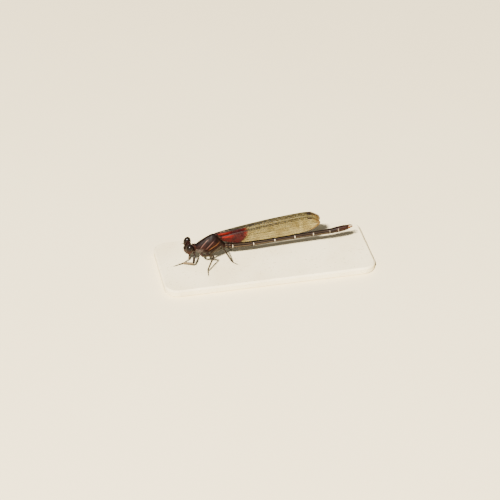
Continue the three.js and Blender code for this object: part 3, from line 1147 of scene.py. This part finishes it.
def end_tree(tree, last, material, leave):
    real = add_node(tree, "GeometryNodeRealizeInstances", Geometry=last)
    smooth = add_node(tree, "GeometryNodeSetShadeSmooth", Geometry=real.outputs["Geometry"])
    finished = add_node(
        tree, "GeometryNodeSetMaterial", Geometry=smooth.outputs["Geometry"], Material=material
    )
    tree.links.new(finished.outputs["Geometry"], leave.inputs["Geometry"])


def grow(name, mesh, tree, settings, material):
    source = bpy.data.objects.new(name + "_source", mesh)
    bpy.context.scene.collection.objects.link(source)
    modifier = source.modifiers.new("grow", "NODES")
    modifier.node_group = tree
    sockets = {s.name: s.identifier for s in tree.interface.items_tree if s.in_out == "INPUT"}
    for label, value in settings.items():
        modifier[sockets[label]] = value
    source.update_tag()
    return settle(name, to_plain_mesh(source), material)


print("tree helpers ready")


# %% Bristle tree
def bristle_tree(material):
    tree, entry, leave = start_tree("bristles", "Thickness", "NodeSocketFloat", 0.012)
    cone = add_node(
        tree, "GeometryNodeMeshCone", {"fill_type": "NGON"}, Vertices=5, Radius_Top=0.001, Depth=1.0
    )
    tree.links.new(entry.outputs["Thickness"], cone.inputs["Radius Bottom"])
    lean = named(tree, "lean", "FLOAT_VECTOR")
    turn = add_node(tree, "FunctionNodeAlignRotationToVector", {"axis": "Z"}, Vector=lean)
    size = add_node(tree, "ShaderNodeCombineXYZ", X=1.0, Y=1.0, Z=named(tree, "reach"))
    placed = add_node(
        tree,
        "GeometryNodeInstanceOnPoints",
        Points=entry.outputs["Geometry"],
        Instance=cone.outputs["Mesh"],
        Rotation=turn.outputs["Rotation"],
        Scale=size.outputs["Vector"],
    )
    end_tree(tree, placed.outputs["Instances"], material, leave)
    return tree


BRISTLES = bristle_tree(BRISTLE)
print("bristle tree nodes:", len(BRISTLES.nodes))

# %% [markdown]
# Two rows stand on the underside of each limb, one a half step behind the other. The bristles lean towards
# the foot, and grow shorter on the way.

# %% Bristle rows
THIGH_ROW = {"radius": 0.18, "count": 11, "reach": 0.42}
SHIN_ROW = {"radius": 0.12, "count": 17, "reach": 0.62}
BRISTLE_THICKNESS = 0.014


def bristle_rows(a, b, radius, count, reach):
    way = (b - a).normalized()
    side_way = way.cross(Vector((0, 0, 1))).normalized()
    under = way.cross(side_way).normalized()
    rows = []
    for row in (-1, 1):
        out = (under * 0.55 + side_way * row * 0.85).normalized()
        for i in range(count):
            t = 0.12 + 0.8 * (i + 0.25 * (row + 1)) / count
            root = a.lerp(b, t) + out * radius * 0.7
            rows.append((root, (out + way * 0.7).normalized(), reach * (1 - 0.35 * t)))
    return rows


hairs = []
for spots in LEGS.values():
    _, turn_joint, knee, ankle, _ = (Vector(p) for p in spots)
    hairs += bristle_rows(turn_joint, knee, **THIGH_ROW)
    hairs += bristle_rows(knee, ankle, **SHIN_ROW)
hair_mesh = draw_mesh("leg_bristles", [root for root, _, _ in hairs], [], [])
lean_layer = hair_mesh.attributes.new("lean", "FLOAT_VECTOR", "POINT")
lean_layer.data.foreach_set("vector", [c for _, lean, _ in hairs for c in lean])
carry(hair_mesh, "reach", [reach for _, _, reach in hairs])
grow("leg_bristles", hair_mesh, BRISTLES, {"Thickness": BRISTLE_THICKNESS}, BRISTLE)
print("bristles:", len(hairs))

# %% [markdown]
# ## Wings
#
# Every wing is a long narrow blade, carried on edge, with its front edge on top. Two curves in side view
# give its outline, and a third says how far it stands from the middle. A place on the blade is a share s
# along it and a share t across it. The blade is gently pleated, bows outwards, and ends in a rounded tip.

# %% Wing outlines
FORE_TOP = [(1.5, 8.0), (5, 8.65), (10.3, 9.5), (17, 10.4), (23.5, 11.0), (25.6, 10.95), (28.35, 10.5)]
FORE_LOW = [
    (1.5, 7.4), (2.6, 6.85), (4, 6.35), (7.5, 5.95), (12, 5.9), (17, 6.0), (21, 6.2), (24, 6.6), (28.35, 7.7),
]
HIND_TOP = [
    (2.3, 7.0), (2.7, 7.15), (6, 8.05), (10.3, 8.8), (17, 9.7), (23, 10.3), (25.5, 10.2), (28.25, 9.75),
]
HIND_LOW = [
    (2.3, 6.8), (2.7, 6.5), (3.6, 5.85), (5, 5.45), (8, 5.15), (12, 5.2), (17, 5.4), (21, 5.65), (24, 6.05),
    (28.25, 7.0),
]
WINGS = {
    "fore_left": (FORE_TOP, FORE_LOW, -1, [(1.5, 0.3), (6, 0.36), (28, 0.32)]),
    "fore_right": (FORE_TOP, FORE_LOW, 1, [(1.5, 0.3), (6, 0.36), (28, 0.34)]),
    "hind_left": (HIND_TOP, HIND_LOW, -1, [(2.6, 0.5), (6, 0.95), (12, 1.1), (28, 1.1)]),
    "hind_right": (HIND_TOP, HIND_LOW, 1, [(2.6, 0.5), (6, 0.95), (12, 1.1), (28, 1.15)]),
}
TIP_DEPTH, TIP_POWER = 2.2, 2.4
PLEATS, PLEAT_DEPTH = 5.5, 0.012
BOW = 0.08


def blade(wing):
    top, low, side, spread = WINGS[wing]
    start, end = top[0][0], top[-1][0]

    def at(s, t):
        x = mix(start, end - TIP_DEPTH * abs(2 * t - 1) ** TIP_POWER, s)
        high, deep = profile(top, x), profile(low, x)
        pleat = PLEAT_DEPTH * (high - deep) * sin(2 * pi * (t * PLEATS + 0.1)) * (1 - 0.6 * s)
        bow = BOW * sin(pi * t) * sin(pi * min(1, s * 1.1))
        return Vector((x, side * (profile(spread, x) + pleat + bow), mix(high, deep, t)))

    return at, end - start


print("wing lengths, mm:", [round(blade(wing)[1], 1) for wing in WINGS])

# %% [markdown]
# The red patch covers a good quarter of the blade and frays at its end. A brighter red is painted in near
# its root and along its far fringe: a painted glow, standing for the light that comes through the patch.
# On the forewings the red stops short of the front edge, and that bare amber strip is a painted reflection,
# standing for the sheen on the front cells. The tip is smoky, and a small dark cell, the stigma, sits near
# the tip on the front edge. All are masks of the place along and across the blade.

# %% Wing marks
RED_END = {"fore": 0.285, "hind": 0.27}


def wing_marks(wing):
    kind = wing.split("_")[0]
    red_end = RED_END[kind]
    # The red stops short of a forewing's front edge; this bare amber strip is a painted reflection, standing
    # for the sheen on the front cells.
    clear = 0.04 if wing == "fore_left" else 0.14

    def red(s, t):
        fray = 0.025 * noise.noise(Vector((s * 60, t * 14, 3.0)))
        end = red_end + 0.03 - 0.06 * t
        painted_sheen_edge = step(clear, clear + 0.06, t + 0.2 * step(0.05, 0.0, s)) if kind == "fore" else 1.0
        return painted_sheen_edge * (1 - step(end - 0.02, end + 0.02, s + fray))

    # Painted glow: brighter red laid near the root and along the far fringe of the red patch, where light
    # would shine through.
    def flare(s, t):
        root = step(0.18, 0.07, s) * step(0.5, 0.2, t)
        fringe = 0.5 * step(red_end - 0.04, red_end + 0.01, s) * step(0.6, 0.3, t)
        return 0.7 * red(s, t) * max(root, fringe)

    def tip(s, t):
        return 0.9 * step(0.945, 0.992, s)

    def stigma(s, t):
        return step(0.932, 0.936, s) * step(0.976, 0.972, s) * step(0.1, 0.09, t)

    def cover(s, t):
        thin = 0.27 + 0.14 * step(0.42, 0.6, t) + 0.2 * step(0.7, 0.95, s) * (kind == "hind")
        front_edge = 0.08 * step(0.1, 0.04, t)
        return min(1, thin + 0.66 * red(s, t) + 0.4 * tip(s, t) + 0.6 * stigma(s, t) + front_edge)

    return {"red": red, "flare": flare, "tip": tip, "stigma": stigma, "cover": cover}


print("red patch ends at:", RED_END)

# %% [markdown]
# A film is a closed sheet a hundredth of a millimetre thick: two grids of points, a wall round their edge.
# The rows stand closer together towards the tip, where the outline curves.

# %% Wing films
FILM_HALF = 0.006
FILM_ALONG, FILM_ACROSS = 210, 48
CROWDING = 1.8


def film(wing):
    at, _ = blade(wing)
    side = WINGS[wing][2]
    grid = [(1 - (1 - s) ** CROWDING, t) for s in shares(FILM_ALONG) for t in shares(FILM_ACROSS)]
    offsets = [Vector((0, side * face * FILM_HALF, 0)) for face in (1, -1)]
    points = [at(s, t) + offset for offset in offsets for s, t in grid]
    sheet = len(grid)
    row = FILM_ACROSS + 1
    faces = []
    for i in range(FILM_ALONG):
        for j in range(FILM_ACROSS):
            a = i * row + j
            faces.append((a, a + row, a + row + 1, a + 1))
            faces.append((a + sheet, a + sheet + 1, a + sheet + row + 1, a + sheet + row))
        for a in (i * row, i * row + FILM_ACROSS):
            faces.append((a, a + sheet, a + sheet + row, a + row))
    for j in range(FILM_ACROSS):
        for a in (j, FILM_ALONG * row + j):
            faces.append((a, a + 1, a + sheet + 1, a + sheet))
    mesh = draw_mesh("film_" + wing, points, [], faces)
    for label, rule in wing_marks(wing).items():
        carry(mesh, label, [rule(s, t) for s, t in grid] * 2)
    settle("film_" + wing, mesh, FILM, ["wing_" + wing])


for wing in WINGS:
    film(wing)
print("wing films:", len(WINGS))

# %% [markdown]
# The veins lie on the film: strong ones along the wing, which split as the blade widens, and hundreds of
# short ones across. Bare edges are enough to draw them, and a second tree thickens the edges into tubes by
# a radius that each point carries.


# %% Tube tree
def tube_tree(material):
    tree, entry, leave = start_tree("edges_to_tubes", "Sides", "NodeSocketInt", 5)
    lines = add_node(tree, "GeometryNodeMeshToCurve", Mesh=entry.outputs["Geometry"])
    outline = add_node(tree, "GeometryNodeCurvePrimitiveCircle", Radius=1.0)
    tree.links.new(entry.outputs["Sides"], outline.inputs["Resolution"])
    thick = add_node(
        tree,
        "GeometryNodeCurveToMesh",
        Curve=lines.outputs["Curve"],
        Profile_Curve=outline.outputs["Curve"],
        Scale=named(tree, "radius"),
        Fill_Caps=True,
    )
    end_tree(tree, thick.outputs["Mesh"], material, leave)
    return tree


TUBES = tube_tree(VEIN)
print("tube tree nodes:", len(TUBES.nodes))

# %% [markdown]
# Each long vein has a place across the blade, a share of the length where it starts, and a radius. The
# strong ones are the front edge, one a little behind it, and one in the middle. Between each two long veins
# the cross veins stand at uneven distances, which a seeded dice gives.

# %% Vein layout
LONG_VEINS = [
    (0.0, 0.0, 0.12), (0.045, 0.02, 0.04), (0.09, 0.0, 0.095), (0.14, 0.14, 0.026), (0.19, 0.08, 0.04),
    (0.235, 0.16, 0.025), (0.28, 0.11, 0.026), (0.33, 0.09, 0.042), (0.38, 0.17, 0.024), (0.43, 0.12, 0.025),
    (0.48, 0.03, 0.06), (0.53, 0.16, 0.024), (0.58, 0.11, 0.025), (0.635, 0.06, 0.042), (0.69, 0.15, 0.024),
    (0.74, 0.09, 0.026), (0.79, 0.14, 0.024), (0.84, 0.11, 0.024), (0.89, 0.16, 0.023), (0.945, 0.13, 0.023),
    (1.0, 0.0, 0.04),
]
CROSS_RADIUS = 0.023
RIM_RADIUS = 0.045
STIFF_RADIUS = 0.03
FRONT_CELL, CELL = 0.4, 0.31
LAST_CROSS = 0.985
KINK, KINK_REACH = 0.013, 0.012


def cross_places(length, seed):
    dice = random.Random(seed)
    crossings = []
    for line, (above, below) in enumerate(zip(LONG_VEINS, LONG_VEINS[1:])):
        spacing = CELL if line > 1 else FRONT_CELL
        s = max(above[1], below[1]) + 0.02 + (0.5 * spacing * (line % 2)) / length
        while s < LAST_CROSS:
            crossings.append((line, s))
            s += spacing * dice.uniform(0.85, 1.15) * (0.75 + 0.35 * min(1, s * 3)) / length
    return crossings


def bend(crossings, line, s):
    t, _, radius = LONG_VEINS[line]
    if radius > STIFF_RADIUS:
        return t
    above = min((abs(s - c) for gap, c in crossings if gap == line - 1), default=FAR)
    below = min((abs(s - c) for gap, c in crossings if gap == line), default=FAR)
    return t + KINK * (step(KINK_REACH, 0, below) - step(KINK_REACH, 0, above))


print("long veins:", len(LONG_VEINS))

# %% [markdown]
# A thin long vein bends a little at every cross vein, so the cells come out six-sided, as real ones do. A
# vein that starts part of the way along springs from the one in front of it. A last vein follows the rim.


# %% Wing veins
def vein_net(wing, seed):
    at, length = blade(wing)
    red = wing_marks(wing)["red"]
    crossings = cross_places(length, seed)
    points, edges, radii, reds = [], [], [], []

    def put(s, t, radius):
        points.append(at(s, t))
        radii.append(radius)
        reds.append(red(s, t))
        return len(points) - 1

    near_tip = {1 - 0.06 * (1 - share) ** 2 for share in shares(12)}
    for line, (t, start, radius) in enumerate(LONG_VEINS):
        stops = {round(s, 4) for gap, s in crossings if gap in (line - 1, line)}
        parent = max((k for k in range(line) if LONG_VEINS[k][1] < start), default=line)
        before = put(max(0, start - 0.02), LONG_VEINS[parent][0], radius)
        for s in (s for s in sorted(stops | near_tip) if s > start):
            now = put(s, bend(crossings, line, s), radius * (1 - 0.1 * s))
            edges.append((before, now))
            before = now
    for line, s in crossings:
        ends = (bend(crossings, line, s), bend(crossings, line + 1, s))
        edges.append(tuple(put(s, t, CROSS_RADIUS) for t in ends))
    rim = [put(1.0, share, RIM_RADIUS) for share in shares(40)]
    edges += list(zip(rim, rim[1:]))
    mesh = draw_mesh("veins_" + wing, points, edges, [])
    carry(mesh, "radius", radii)
    carry(mesh, "red", reds)
    piece = grow("veins_" + wing, mesh, TUBES, {"Sides": 4}, VEIN)
    print(wing, "cross veins:", len(crossings), "faces:", len(piece.data.polygons))


for number, wing in enumerate(WINGS):
    vein_net(wing, seed=number + 1)

# %% [markdown]
# ## Base and floor
#
# The slim insect would tip over its hind feet, so a plain flat base carries it. It keeps the packed
# model's own solid and only gets a finish: pale, dry and finely grained.


# %% Base finish
def pale_stone():
    material, tree, surface = start_material("pale_stone")
    colour = two_tone(tree, size_mm=9.0, deep=(0.79, 0.68, 0.43), light=(0.88, 0.78, 0.52))
    specks = stretch(tree, grain(tree, size_mm=0.6, detail=2.0), 0.62, 0.72, 0, 0.5)
    colour = mix_colour(tree, specks, colour, rgba((0.42, 0.34, 0.2)))
    tree.links.new(colour, surface.inputs["Base Color"])
    raise_grain(tree, surface, size_mm=0.5, height_mm=0.06, strength=0.5, detail=8.0)
    surface.inputs["Roughness"].default_value = 0.85
    return material


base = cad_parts["stand_base"]
base.data.materials.clear()
base.data.materials.append(pale_stone())
print("base finish:", base.data.materials[0].name)

# %% [markdown]
# The floor catches the shadows round the base. It is only a stage for the picture and no part of the model.

# %% Floor
FLOOR_REACH = 3
FLOOR, floor_tree, floor_surface = start_material("plain_floor")
floor_tone = mix_colour(
    floor_tree, grain(floor_tree, 60.0), rgba((0.85, 0.74, 0.48)), rgba((0.89, 0.79, 0.53))
)
floor_tree.links.new(floor_tone, floor_surface.inputs["Base Color"])
floor_surface.inputs["Roughness"].default_value = 0.9
corners = [(x * FLOOR_REACH, y * FLOOR_REACH, 0) for x, y in ((-1, -1), (1, -1), (1, 1), (-1, 1))]
floor_mesh = draw_mesh("floor", corners, [], [(0, 1, 2, 3)])
floor_mesh.materials.append(FLOOR)
floor = bpy.data.objects.new("floor", floor_mesh)
bpy.context.scene.collection.objects.link(floor)
print("floor finish:", FLOOR.name)
